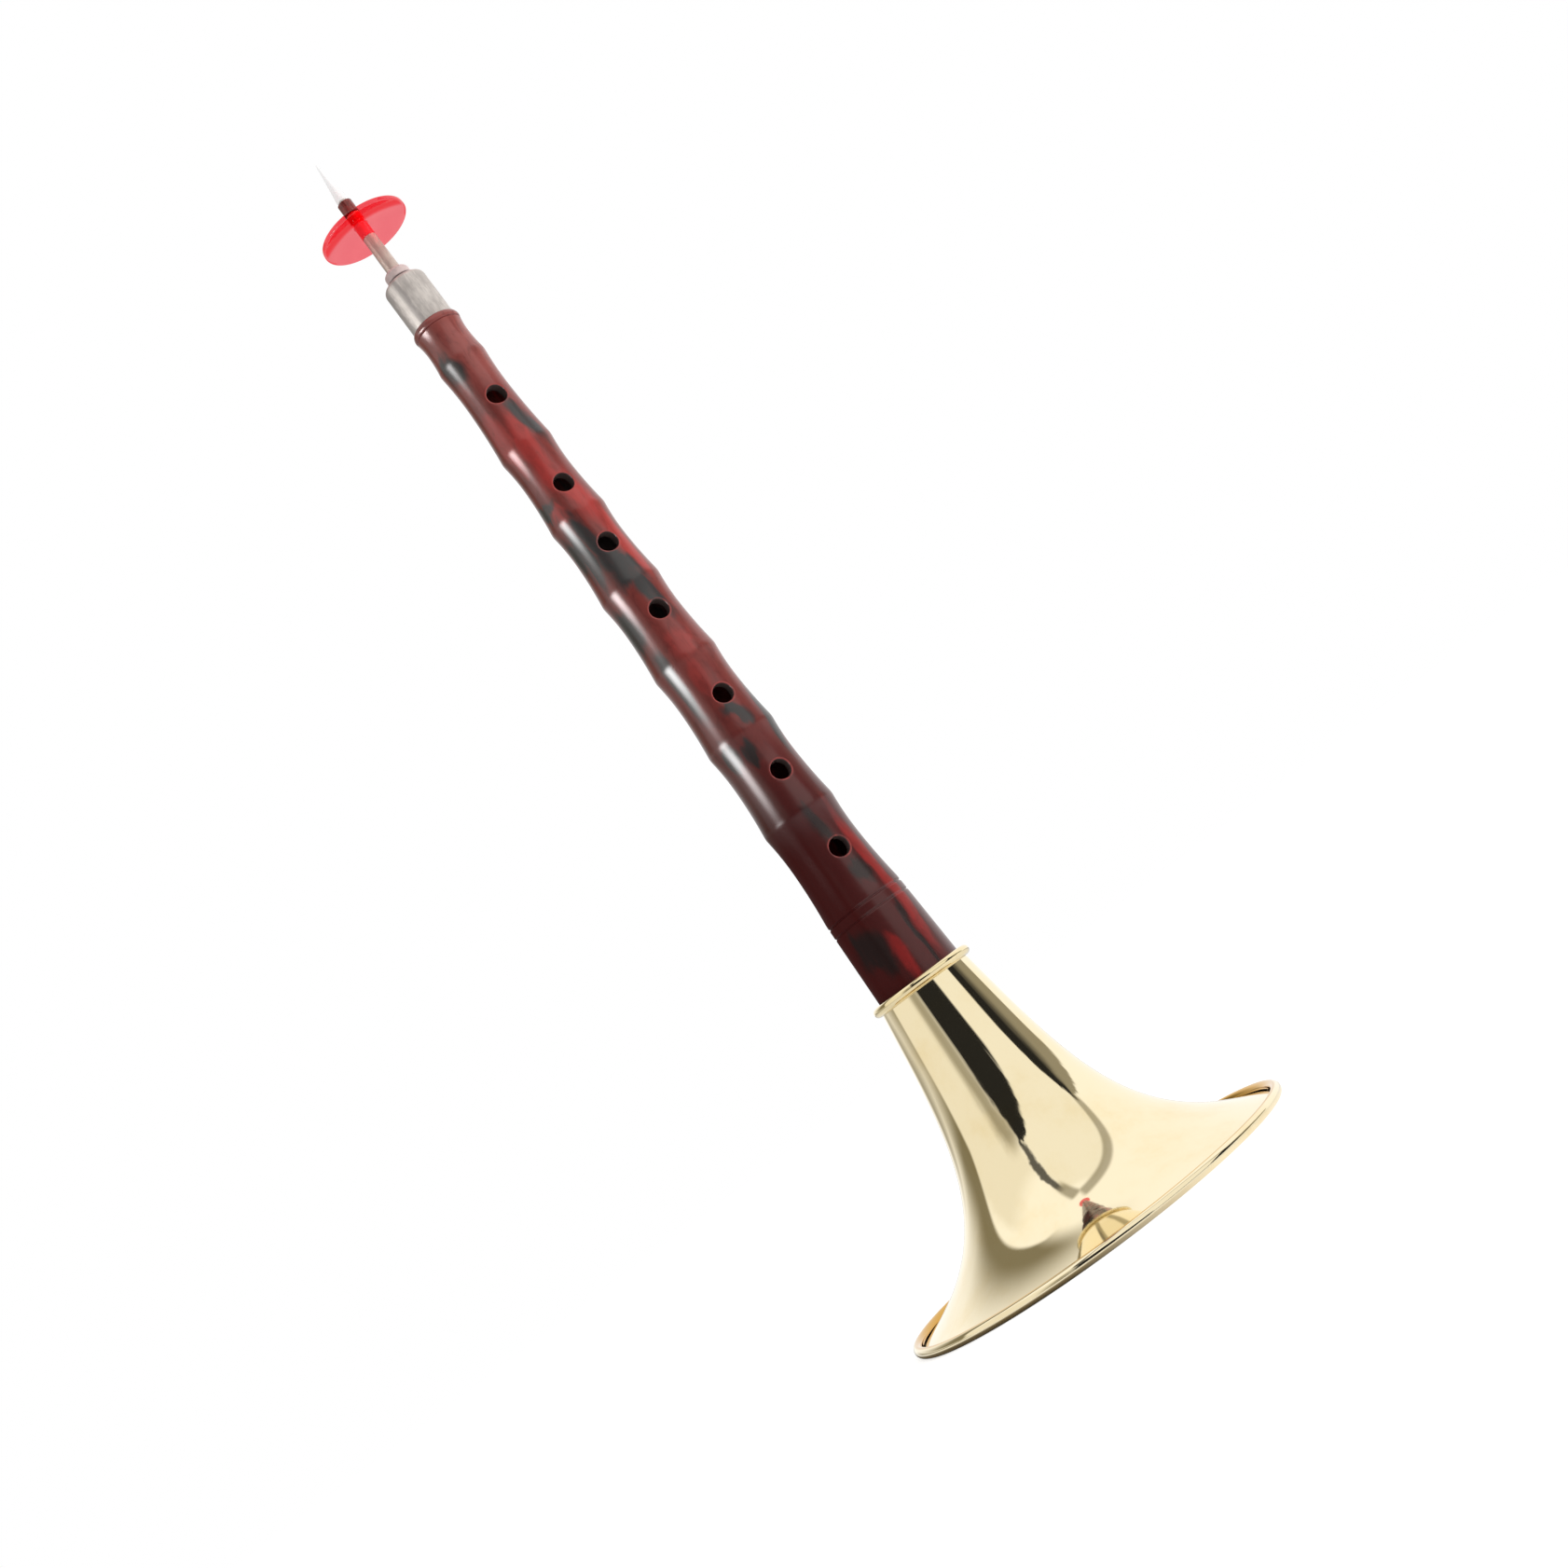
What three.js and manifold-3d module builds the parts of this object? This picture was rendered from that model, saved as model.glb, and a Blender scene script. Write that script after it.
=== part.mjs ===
// Suona: a conical pipe with a spun metal bell, a thin staple, a lip disc and a reed.
// Millimetres, +Z along the axis from the bell's mouth to the reed.
// The origin is the centre of the bell's mouth, and the front finger holes face -Y.

import * as THREE from 'three';
import { mergeVertices } from 'three/addons/utils/BufferGeometryUtils.js';
import Module from 'manifold-3d';

const wasm = await Module();
wasm.setup();

// Fits between neighbouring pieces
const seatGap = 0.05; // a shoulder on its seat
const slipGap = 0.1; // a piece that pulls off by hand, all round
const runningGap = 0.07; // the lip disc on its journal
const overrun = 2; // a cutting tool past the wall that it cuts

// Bell sheet, with its rim rolled round a wire
const mouthRadius = 60;
const neckRadius = 13.95;
const bellHeight = 77.3;
const sheet = 0.5;
const rollRadius = 1.5;
const restLand = 0.8; // width of the flat that the bell stands on
const throatAngle = 8.7; // degrees between the sheet and the axis at the throat
const mouthAngle = 18.3; // degrees between the sheet and the mouth plane at the rim
const throatHandleShare = 0.498; // of the bell's height
const mouthHandleShare = 0.87; // of the run from the neck to the rim
const rollEndAngle = 185; // degrees, where the rolled edge ends short of the sheet
const wireGap = 0.1;

// Throat ring, a turned socket soldered on the neck
const ringBead = 1.35; // radius of its half round bead
const ringProud = 1.85; // how far the bead stands out past the neck
const ringWall = 0.9;
const ringSleeve = 12.5; // length of the sleeve below its seat
const ringSeat = 0.65; // width of the seat for the pipe's shoulder
const ringSeatRise = 0.35; // the seat above the bead's middle
const ringRecessGap = 0.15;

// Pipe
const pipeLength = 231.5; // from the shoulder on the throat ring to the ferrule's seat
const crestTopRadius = 7.57; // crest of the highest ridge
const crestFootRadius = 11.9; // crest of the lowest ridge
const crestHollow = 0.86; // depth of the hollow between two ridges
const collarRadius = 7.55; // round collar under the ferrule
const collarHollow = 0.64; // depth of the hollow between the collar and the highest ridge
const collarHeight = 1.6; // from the ferrule's seat down to the collar's crest
const tenonLength = 15;
const tenonChannel = 10.6; // length of the channel for the lapping
const tenonLip = 1.6; // from the shoulder to the channel
const channelDepth = 0.95;
const tenonWall = 2.1; // between the channel and the bore
const boreClearance = 0.45; // round the staple's foot, at the top of the bore
const holeRadius = 2.9;
const grooveWidth = 1.1;
const grooveDepth = 0.35;
const groovePitch = 3.1;

// Heights up the pipe, as shares of its length from the shoulder
const holeShares = [0.871, 0.731, 0.639, 0.535, 0.407, 0.293, 0.179];
const thumbHoleShare = 0.829;
const ridgeShares = [0.116, 0.24, 0.357, 0.47, 0.583, 0.692, 0.801, 0.939];
const valleyShare = 0.59; // of the way from one ridge up to the next

// Ferrule
const ferruleRadius = 6.6;
const ferruleLength = 16;
const ferruleWall = 0.55;
const ferruleRound = 1.8; // radius of its top edge
const socketDepth = 15; // hole for the bush, down from the top of the pipe

// Staple and the bush that seals it in the socket
const stapleFootRadius = 2.45;
const stapleSeatRadius = 2.05; // just under the lip disc
const stapleWall = 0.35;
const stapleDepth = 26; // below the ferrule's top
const stapleReach = 16.9; // above the ferrule's top, to the disc's seat
const journalStep = 0.3; // step down to where the lip disc turns
const spigotStep = 0.4; // next step down, to where the reed slides on
const spigotLength = 5.2;
const bushWall = 0.85; // at the foot of its shank
const bushFlange = 0.6; // how far its collar stands out past the socket
const bushHeight = 4.2;
const bushShank = 10;
const bushRound = 1;

// Lip disc
const discRadius = 13.85;
const discThickness = 1.3;
const discDome = 2.6; // rise of the dome from the rim to the middle
const discHang = 2.15; // the rim above the hub's lower end
const hubRise = 3; // the hub above the middle of the dome
const hubWall = 0.3;

// Reed and its sleeve
const sleeveLength = 4.2;
const sleeveFloor = 0.9;
const sleeveWall = 0.4;
const spigotGap = 0.14; // between the spigot and the reed's foot
const reedLength = 16.1;
const reedFoot = 4.4; // length of its round foot
const reedWall = 0.33;
const reedTipWall = 0.22;
const tipHalfWidth = 3.6;
const tipHalfThickness = 0.42;
const reedTurn = 67.5; // degrees that the blade is turned round the staple from its playing place

// Facets round a turn
const bellSides = 48;
const ringSides = 40;
const pipeSides = 36;
const discSides = 32;
const stapleSides = 24;
const drillSides = 16;

const radians = THREE.MathUtils.degToRad;

// Sizes that follow from those above
const rollHeight = Math.sqrt(rollRadius ** 2 - (restLand / 2) ** 2); // middle of the rolled rim
const rollCentre = mouthRadius - rollRadius;
const beadHeight = bellHeight + seatGap + ringBead; // middle of the throat ring's bead
const beadCentre = neckRadius + ringProud - ringBead;
const seatHeight = beadHeight + ringSeatRise;
const ringOuter = neckRadius - sheet - slipGap;
const ringBore = ringOuter - ringWall;
const recessRadius = ringBore + ringSeat;
const shoulderHeight = seatHeight + seatGap;
const pipeFootRadius = recessRadius - ringRecessGap;
const tenonRadius = ringBore - 2 * slipGap;
const channelRadius = tenonRadius - channelDepth;
const boreFootRadius = channelRadius - tenonWall;
const boreTopRadius = stapleFootRadius + boreClearance;
const topTenonRadius = ferruleRadius - ferruleWall - seatGap;
const topTenonLength = ferruleLength - ferruleWall;
const ferruleTop = seatGap + ferruleLength; // above the ferrule's seat
const socketRadius = stapleRadius(-bushShank) + seatGap + bushWall + slipGap;
const journalRadius = stapleSeatRadius - journalStep;
const spigotRadius = journalRadius - spigotStep;
const footRadius = spigotRadius + spigotGap + reedWall; // outside of the reed's foot
const sleeveRadius = footRadius + seatGap + sleeveWall;
const crownHeight = discHang + discDome + discThickness / 2; // the disc's middle above its hub's end
const hubLength = crownHeight + hubRise;
const journalLength = seatGap + hubLength + 2 * seatGap;

// A closed mesh whose shared vertices are merged
function merged(geometry) {
  geometry.deleteAttribute('normal');
  geometry.deleteAttribute('uv');
  return mergeVertices(geometry);
}

// A turned piece: a closed outline of [radius, height] pairs, run anticlockwise, about the axis
function turned(outline, sides) {
  const points = [...outline, outline[0]].map(([r, z]) => new THREE.Vector2(r, z));
  const geometry = new THREE.LatheGeometry(points, sides);
  geometry.rotateX(Math.PI / 2);
  return merged(geometry);
}

// Points on an arc, with its angles in degrees
function arc([r, z], radius, from, to, steps) {
  const points = [];
  for (let i = 0; i <= steps; i += 1) {
    const angle = radians(from + ((to - from) * i) / steps);
    points.push([r + radius * Math.cos(angle), z + radius * Math.sin(angle)]);
  }
  return points;
}

function toSolid(geometry) {
  return new wasm.Manifold(
    new wasm.Mesh({
      numProp: 3,
      vertProperties: geometry.attributes.position.array,
      triVerts: new Uint32Array(geometry.index.array),
    }),
  );
}

function toGeometry(solid) {
  const mesh = solid.getMesh();
  const geometry = new THREE.BufferGeometry();
  geometry.setAttribute('position', new THREE.BufferAttribute(mesh.vertProperties, 3));
  geometry.setIndex(new THREE.BufferAttribute(mesh.triVerts, 1));
  return geometry;
}

// Bell

// The sheet's outer face from the throat to where the rim starts to roll
function flareCurve() {
  const throat = new THREE.Vector2(neckRadius, bellHeight);
  const [rimRadius, rimHeight] = arc(
    [rollCentre, rollHeight], rollRadius - sheet, -90 - mouthAngle, -90, 1,
  )[0];
  const rim = new THREE.Vector2(rimRadius, rimHeight);
  const throatHandle = new THREE.Vector2(
    Math.sin(radians(throatAngle)), -Math.cos(radians(throatAngle)),
  ).multiplyScalar(throatHandleShare * bellHeight);
  const mouthHandle = new THREE.Vector2(
    -Math.cos(radians(mouthAngle)), Math.sin(radians(mouthAngle)),
  ).multiplyScalar(mouthHandleShare * (rimRadius - neckRadius));
  return new THREE.CubicBezierCurve(
    throat, throat.clone().add(throatHandle), rim.clone().add(mouthHandle), rim,
  );
}

// The sheet curls out and back round the wire, and stops short of itself
function bellFlare() {
  const steps = 11;
  const curve = flareCurve();
  const outer = [];
  const inner = [];
  for (let i = 0; i <= steps; i += 1) {
    const p = curve.getPoint(i / steps);
    const t = curve.getTangent(i / steps);
    outer.push([p.x, p.y]);
    inner.push([p.x + t.y * sheet, p.y - t.x * sheet]);
  }
  const centre = [rollCentre, rollHeight];
  const landAngle = THREE.MathUtils.radToDeg(Math.asin(restLand / 2 / rollRadius));
  const landEnd = -90 + landAngle;
  const rollOut = [
    [rollCentre - restLand / 2, 0],
    ...arc(centre, rollRadius, landEnd, rollEndAngle, 9),
  ];
  const rollIn = arc(centre, rollRadius - sheet, rollEndAngle, -90 - mouthAngle, 7);
  return turned([...inner, ...rollOut, ...rollIn.slice(0, -1), ...outer.reverse()], bellSides);
}

function rimWire() {
  const wireRadius = rollRadius - sheet - wireGap;
  return turned(arc([rollCentre, rollHeight], wireRadius, 0, 360, 6).slice(0, -1), bellSides);
}

// The bead stands outside the neck and the sleeve hangs inside it
function throatRing() {
  const bead = arc([beadCentre, beadHeight], ringBead, -90, 135, 8);
  const sleeveEnd = seatHeight - ringSleeve;
  return turned([
    [ringBore, sleeveEnd],
    [ringOuter, sleeveEnd],
    [ringOuter, bellHeight + seatGap],
    ...bead,
    [recessRadius, bead.at(-1)[1]],
    [recessRadius, seatHeight],
    [ringBore, seatHeight],
  ], ringSides);
}

// Pipe, with heights counted from its shoulder

// The crests of the ridges lie on one cone
function ridges() {
  const foot = ridgeShares[0];
  const run = ridgeShares.at(-1) - foot;
  return ridgeShares.map((share) => [
    THREE.MathUtils.lerp(crestFootRadius, crestTopRadius, (share - foot) / run),
    share * pipeLength,
  ]);
}

// A shallow hollow from one crest up to the next, deepest at the valley, without its last point
function hollow([r0, z0], [r1, z1], depth) {
  const steps = 4;
  const points = [];
  for (let i = 0; i < steps; i += 1) {
    const share = i / steps;
    const below = share / valleyShare;
    const above = (1 - share) / (1 - valleyShare);
    const off = 1 - Math.min(below, above);
    const sag = depth * (1 - off ** 2);
    points.push([r0 + (r1 - r0) * share - sag, z0 + (z1 - z0) * share]);
  }
  return points;
}

// Two fine grooves turned just under the lowest ridge
function grooves([ridgeRadius, ridgeHeight]) {
  const points = [];
  const slope = (ridgeRadius - pipeFootRadius) / ridgeHeight;
  for (const row of [2, 1]) {
    const middle = ridgeHeight - (row - 1 / 2) * groovePitch;
    for (const [offset, depth] of [[-1 / 2, 0], [0, grooveDepth], [1 / 2, 0]]) {
      const z = middle + offset * grooveWidth;
      points.push([pipeFootRadius + slope * z - depth, z]);
    }
  }
  return points;
}

function pipeOutline() {
  const crests = ridges();
  const top = pipeLength + topTenonLength;
  const edge = ferruleRound - ferruleWall - seatGap;
  const collar = arc([0, 0], 1, 0, 90, 2).map(([r, z]) => [
    ferruleRadius + r * (collarRadius - ferruleRadius),
    pipeLength - collarHeight + z * collarHeight,
  ]);
  const channelTop = -tenonLip;
  const channelFoot = channelTop - tenonChannel;
  const outline = [
    [boreFootRadius, -tenonLength],
    [tenonRadius, -tenonLength],
    [tenonRadius, channelFoot],
    [channelRadius, channelFoot],
    [channelRadius, channelTop],
    [tenonRadius, channelTop],
    [tenonRadius, 0],
    [pipeFootRadius, 0],
    ...grooves(crests[0]),
  ];
  for (let i = 0; i < crests.length - 1; i += 1) {
    outline.push(...hollow(crests[i], crests[i + 1], crestHollow));
  }
  outline.push(
    ...hollow(crests.at(-1), collar[0], collarHollow),
    ...collar,
    [topTenonRadius, pipeLength],
    ...arc([topTenonRadius - edge, top - edge], edge, 0, 90, 2),
    [socketRadius, top],
    [socketRadius, top - socketDepth],
    [boreTopRadius, top - socketDepth],
  );
  return outline;
}

// A drill that runs out of the bore through one wall; side is -1 at the front and 1 at the back
function drill(height, side) {
  const reach = pipeFootRadius + overrun;
  const geometry = new THREE.CylinderGeometry(holeRadius, holeRadius, reach, drillSides);
  geometry.translate(0, (side * reach) / 2, height);
  return toSolid(merged(geometry));
}

function bodyPipe() {
  let solid = toSolid(turned(pipeOutline(), pipeSides));
  for (const share of holeShares) {
    solid = solid.subtract(drill(share * pipeLength, -1));
  }
  return toGeometry(solid.subtract(drill(thumbHoleShare * pipeLength, 1)));
}

// Thread wound in the tenon's channel, as one closed band
function tenonLapping() {
  const top = -tenonLip - seatGap;
  const foot = top - tenonChannel + 2 * seatGap;
  const inner = channelRadius + seatGap;
  const outer = ringBore - slipGap;
  return turned([[inner, foot], [outer, foot], [outer, top], [inner, top]], pipeSides);
}

// A drawn cap of even wall, open below and pierced for the bush; heights are from its seat
function ferrule() {
  const edge = [ferruleRadius - ferruleRound, ferruleTop - ferruleRound];
  const inside = ferruleRadius - ferruleWall;
  return turned([
    [inside, seatGap],
    [ferruleRadius, seatGap],
    ...arc(edge, ferruleRound, 0, 90, 4),
    [socketRadius, ferruleTop],
    [socketRadius, ferruleTop - ferruleWall],
    ...arc(edge, ferruleRound - ferruleWall, 90, 0, 2),
  ], pipeSides);
}

// Staple, with heights counted from the ferrule's top

// The tube's outer radius on its long taper
function stapleRadius(height) {
  const share = (height + stapleDepth) / (stapleReach + stapleDepth);
  return stapleFootRadius + (stapleSeatRadius - stapleFootRadius) * share;
}

// One drawn tube, stepped down for the lip disc and again for the reed
function staple() {
  const journalTop = stapleReach + journalLength;
  const tip = journalTop + spigotLength;
  return turned([
    [stapleFootRadius - stapleWall, -stapleDepth],
    [stapleFootRadius, -stapleDepth],
    [stapleSeatRadius, stapleReach],
    [journalRadius, stapleReach],
    [journalRadius, journalTop],
    [spigotRadius, journalTop],
    [spigotRadius, tip],
    [spigotRadius - stapleWall, tip],
    [spigotRadius - stapleWall, journalTop - stapleWall],
    [journalRadius - stapleWall, stapleReach],
  ], stapleSides);
}

function stapleBush() {
  const shankRadius = socketRadius - slipGap;
  const collar = socketRadius + bushFlange;
  const bore = (height) => stapleRadius(height) + seatGap;
  const top = seatGap + bushHeight;
  return turned([
    [bore(-bushShank), -bushShank],
    [shankRadius, -bushShank],
    [shankRadius, seatGap],
    [collar, seatGap],
    ...arc([collar - bushRound, top - bushRound], bushRound, 0, 90, 3),
    [bore(top), top],
  ], stapleSides);
}

// Lip disc, with heights counted from its seat on the staple

// A thin dome with a rounded rim on a short tube, its hub
function lipDisc() {
  const steps = 5;
  const rimHeight = seatGap + discHang;
  const half = discThickness / 2;
  const sphere = (discRadius ** 2 + discDome ** 2) / (2 * discDome);
  const middle = (r) => rimHeight + discDome - sphere + Math.sqrt(sphere ** 2 - r ** 2);
  const bore = journalRadius + runningGap;
  const hubRadius = bore + hubWall;
  const rim = discRadius - half;
  const upper = [];
  const lower = [];
  for (let i = 0; i <= steps; i += 1) {
    const r = hubRadius + ((rim - hubRadius) * i) / steps;
    lower.push([r, middle(r) - half]);
    upper.push([r, middle(r) + half]);
  }
  const edge = arc([rim, middle(rim)], half, -90, 90, 4).slice(1, -1);
  return turned([
    [bore, seatGap],
    [hubRadius, seatGap],
    ...lower,
    ...edge,
    ...upper.reverse(),
    [hubRadius, seatGap + hubLength],
    [bore, seatGap + hubLength],
  ], discSides);
}

// Reed and sleeve, with heights counted from the top of the staple's journal

function reedSleeve() {
  const bore = spigotRadius + seatGap;
  const socket = footRadius + seatGap;
  return turned([
    [bore, seatGap],
    [sleeveRadius, seatGap],
    [sleeveRadius, seatGap + sleeveLength],
    [socket, seatGap + sleeveLength],
    [socket, seatGap + sleeveFloor],
    [bore, seatGap + sleeveFloor],
  ], stapleSides);
}

// One ring of the reed's wall, by its height above the foot's end
function reedSection(height, inside) {
  const blade = Math.max(0, (height - reedFoot) / (reedLength - reedFoot));
  const wall = inside ? THREE.MathUtils.lerp(reedWall, reedTipWall, blade) : 0;
  return {
    halfWidth: THREE.MathUtils.lerp(footRadius, tipHalfWidth, blade) - wall,
    halfThickness: THREE.MathUtils.lerp(footRadius, tipHalfThickness, blade) - wall,
    z: seatGap + sleeveFloor + seatGap + height,
  };
}

// A hollow loft from a round foot to a flat lip: up the outside, then down the inside
function reed() {
  const bladeShares = [0, 0.2, 0.45, 0.7, 0.88, 1];
  const heights = [
    0, ...bladeShares.map((share) => THREE.MathUtils.lerp(reedFoot, reedLength, share)),
  ];
  const sections = [
    ...heights.map((height) => reedSection(height, false)),
    ...heights.reverse().map((height) => reedSection(height, true)),
  ];
  const positions = [];
  for (const { halfWidth, halfThickness, z } of sections) {
    for (let j = 0; j < stapleSides; j += 1) {
      const angle = (2 * Math.PI * j) / stapleSides;
      positions.push(halfWidth * Math.cos(angle), halfThickness * Math.sin(angle), z);
    }
  }
  const faces = [];
  for (let i = 0; i < sections.length; i += 1) {
    const row = i * stapleSides;
    const next = ((i + 1) % sections.length) * stapleSides;
    for (let j = 0; j < stapleSides; j += 1) {
      const k = (j + 1) % stapleSides;
      faces.push(row + j, row + k, next + k, row + j, next + k, next + j);
    }
  }
  const geometry = new THREE.BufferGeometry();
  geometry.setAttribute('position', new THREE.Float32BufferAttribute(positions, 3));
  geometry.setIndex(faces);
  return geometry;
}

// Finishes
const polishedBrass = { color: 0xe6c878, roughness: 0.12, metalness: 1 };
const ironWire = { color: 0x8d8a84, roughness: 0.5, metalness: 1 };
const marbledResin = { color: 0x7a2a28, roughness: 0.25, metalness: 0 };
const thread = { color: 0xe8e0cf, roughness: 0.9, metalness: 0 };
const satinNickel = { color: 0xb9b1ab, roughness: 0.35, metalness: 1 };
const paleTube = { color: 0xc9b5a6, roughness: 0.3, metalness: 1 };
const whitePlastic = { color: 0xd8ccc9, roughness: 0.55, metalness: 0 };
const clearRed = {
  color: 0xf02a38, roughness: 0.08, metalness: 0, transparent: true, opacity: 0.6,
};
const darkSleeve = { color: 0x5c2420, roughness: 0.3, metalness: 0 };
const reedWhite = {
  color: 0xefece6, roughness: 0.4, metalness: 0, transparent: true, opacity: 0.7,
};

function piece(name, geometry, finish) {
  const mesh = new THREE.Mesh(geometry, new THREE.MeshStandardMaterial(finish));
  mesh.name = name;
  return mesh;
}

function raised(height, ...children) {
  const group = new THREE.Group();
  group.position.z = height;
  group.add(...children);
  return group;
}

const reedGroup = raised(
  stapleReach + journalLength,
  piece('reed_sleeve', reedSleeve(), darkSleeve),
  piece('reed', reed(), reedWhite),
);
reedGroup.rotation.z = radians(reedTurn);

const discGroup = raised(stapleReach, piece('lip_disc', lipDisc(), clearRed));

const stapleGroup = raised(
  pipeLength + ferruleTop,
  piece('staple', staple(), paleTube),
  piece('staple_bush', stapleBush(), whitePlastic),
  discGroup,
  reedGroup,
);

const pipeGroup = raised(
  shoulderHeight,
  piece('body_pipe', bodyPipe(), marbledResin),
  piece('tenon_lapping', tenonLapping(), thread),
  raised(pipeLength, piece('ferrule', ferrule(), satinNickel)),
  stapleGroup,
);

const suona = new THREE.Group();
suona.add(
  piece('bell_flare', bellFlare(), polishedBrass),
  piece('rim_wire', rimWire(), ironWire),
  piece('throat_ring', throatRing(), polishedBrass),
  pipeGroup,
);

export default suona;
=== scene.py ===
"""Looks of the suona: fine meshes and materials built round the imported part.

Every piece stands where the CAD has it, with +Z from the bell's mouth to the reed.
Outlines are written in millimetres. Lamps, the camera and the depths of bumps are in metres.
"""

import math

import bpy
import numpy as np
from mathutils import Matrix, Vector


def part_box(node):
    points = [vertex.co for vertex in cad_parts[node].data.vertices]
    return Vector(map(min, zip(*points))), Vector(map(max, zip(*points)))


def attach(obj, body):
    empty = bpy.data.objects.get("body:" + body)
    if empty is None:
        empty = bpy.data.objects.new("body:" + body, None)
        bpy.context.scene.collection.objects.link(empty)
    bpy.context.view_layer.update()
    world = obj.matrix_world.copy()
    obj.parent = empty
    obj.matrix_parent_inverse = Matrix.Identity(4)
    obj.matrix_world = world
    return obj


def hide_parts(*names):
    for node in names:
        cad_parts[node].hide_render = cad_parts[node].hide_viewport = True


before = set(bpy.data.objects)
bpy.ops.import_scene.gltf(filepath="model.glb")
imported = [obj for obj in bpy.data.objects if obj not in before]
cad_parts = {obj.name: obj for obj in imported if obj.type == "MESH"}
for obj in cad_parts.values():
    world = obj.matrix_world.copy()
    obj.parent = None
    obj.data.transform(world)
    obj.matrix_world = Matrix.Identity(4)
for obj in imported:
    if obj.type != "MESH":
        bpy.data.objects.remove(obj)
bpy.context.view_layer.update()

MM = 0.001
DEGREES = 180 / math.pi
WHITE = (1, 1, 1, 1)

# The pipe's sizes that more than one function uses
SHOULDER = 79.1
PIPE_LENGTH = 231.5
PIPE_END = SHOULDER + PIPE_LENGTH
SHOULDER_RADIUS = 12.95
COLLAR_RISE = 1.6
COLLAR_RADIUS = 7.55
BORE_FOOT, BORE_FOOT_RADIUS = 64.1, 9.2
BORE_TOP, BORE_TOP_RADIUS = 311.05, 2.9
PIPE_SIDES = 160
FINGER_HOLES = [SHOULDER + s * PIPE_LENGTH for s in (0.871, 0.731, 0.639, 0.535, 0.407, 0.293, 0.179)]
THUMB_HOLE = SHOULDER + 0.829 * PIPE_LENGTH
RIDGES = [SHOULDER + s * PIPE_LENGTH for s in (0.116, 0.24, 0.357, 0.47, 0.583, 0.692, 0.801, 0.939)]

# Grooves round the pipe: height, width and depth
GROOVES = [(101.3, 0.9, 0.3), (104.4, 1.0, 0.35), (308.25, 0.6, 0.35)]

# Each hole's height and the direction it faces, in degrees anticlockwise from +X
HOLES = [(height, -90) for height in FINGER_HOLES] + [(THUMB_HOLE, 90)]
HOLE_RADIUS = 2.9
HOLE_EASE = 0.5
HALF_WINDOW = 4.3
WINDOW_EDGES = [height + side * HALF_WINDOW for height, _ in HOLES for side in (-1, 1)]

# The staple's cone, the foot of the bush's collar and the socket
STAPLE_FOOT, STAPLE_FOOT_RADIUS = 300.65, 2.45
STAPLE_SEAT, STAPLE_SEAT_RADIUS = 343.55, 2.05
BUSH_SEAT = 326.7
SOCKET_RADIUS = 3.3


# Meshes


class Shell:
    """Rows of points, in millimetres, that are joined into one mesh."""

    def __init__(self):
        self.points = []
        self.faces = []

    def row(self, points):
        """Adds points and gives their numbers."""
        start = len(self.points)
        self.points.extend(points)
        return list(range(start, len(self.points)))

    def face(self, corners, inward=False):
        self.faces.append(corners[::-1] if inward else corners)

    def join(self, low, high, inward=False):
        """Faces all the way round between two closed rows."""
        for i in range(len(low)):
            j = (i + 1) % len(low)
            self.face((low[i], low[j], high[j], high[i]), inward)

    def chain(self, rows, inward=False):
        """Joins each row to the next."""
        for low, high in zip(rows, rows[1:]):
            self.join(low, high, inward)

    def turn(self, outline, sides, closed=True):
        """Turns an outline of (radius, height), run anticlockwise, about the axis."""
        rows = [self.row(circle(r, z, sides)) for r, z in outline]
        self.chain(rows + rows[:1] if closed else rows)

    def mesh(self, name):
        made = bpy.data.meshes.new(name)
        made.from_pydata([[c * MM for c in p] for p in self.points], [], self.faces)
        return made

    def piece(self, name, paint, body, slot, *nodes, crease=40):
        """One visible piece that rides on a body and stands for CAD nodes."""
        mesh = self.mesh(name)
        mesh.validate()
        mesh.shade_smooth()
        mesh.set_sharp_from_angle(angle=math.radians(crease))
        mesh.materials.append(paint)
        made = add(name, mesh)
        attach(made, body)
        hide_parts(*nodes)


def add(name, data):
    """A new object in the scene."""
    made = bpy.data.objects.new(name, data)
    bpy.context.scene.collection.objects.link(made)
    return made


def circle(radius, height, sides):
    """Points on a level circle about the axis."""
    turns = [math.tau * i / sides for i in range(sides)]
    return [(radius * math.cos(t), radius * math.sin(t), height) for t in turns]


def arc(centre, radius, start, end, steps):
    """Points on an arc, its angles in degrees."""
    angles = np.radians(np.linspace(start, end, steps + 1))
    return [(centre[0] + radius * math.cos(a), centre[1] + radius * math.sin(a)) for a in angles]


def eased(corners, closed=True, steps=5):
    """An outline whose corners, given as (radius, height, ease), are rounded off.

    A corner without an ease stays as it is, and so do both ends of an open outline.
    """
    largest_share = 0.48
    points = []
    for i, corner in enumerate(corners):
        ease = corner[2] if len(corner) > 2 else 0
        here = np.array(corner[:2], float)
        if not ease or (not closed and i in (0, len(corners) - 1)):
            points.append(tuple(here))
            continue
        ends = []
        for other in (corners[i - 1], corners[(i + 1) % len(corners)]):
            way = np.array(other[:2], float) - here
            length = np.linalg.norm(way)
            ends.append(here + way / length * min(ease, length * largest_share))
        for t in np.linspace(0, 1, steps + 1):
            points.append(tuple((1 - t) ** 2 * ends[0] + 2 * t * (1 - t) * here + t * t * ends[1]))
    return points


def heights(node):
    """Lowest and highest point of a CAD node, in millimetres."""
    low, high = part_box(node)
    return low.z / MM, high.z / MM


def radius_of(node):
    """Outer radius of a CAD node on the axis, in millimetres."""
    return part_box(node)[1].x / MM


# Node helpers


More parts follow.
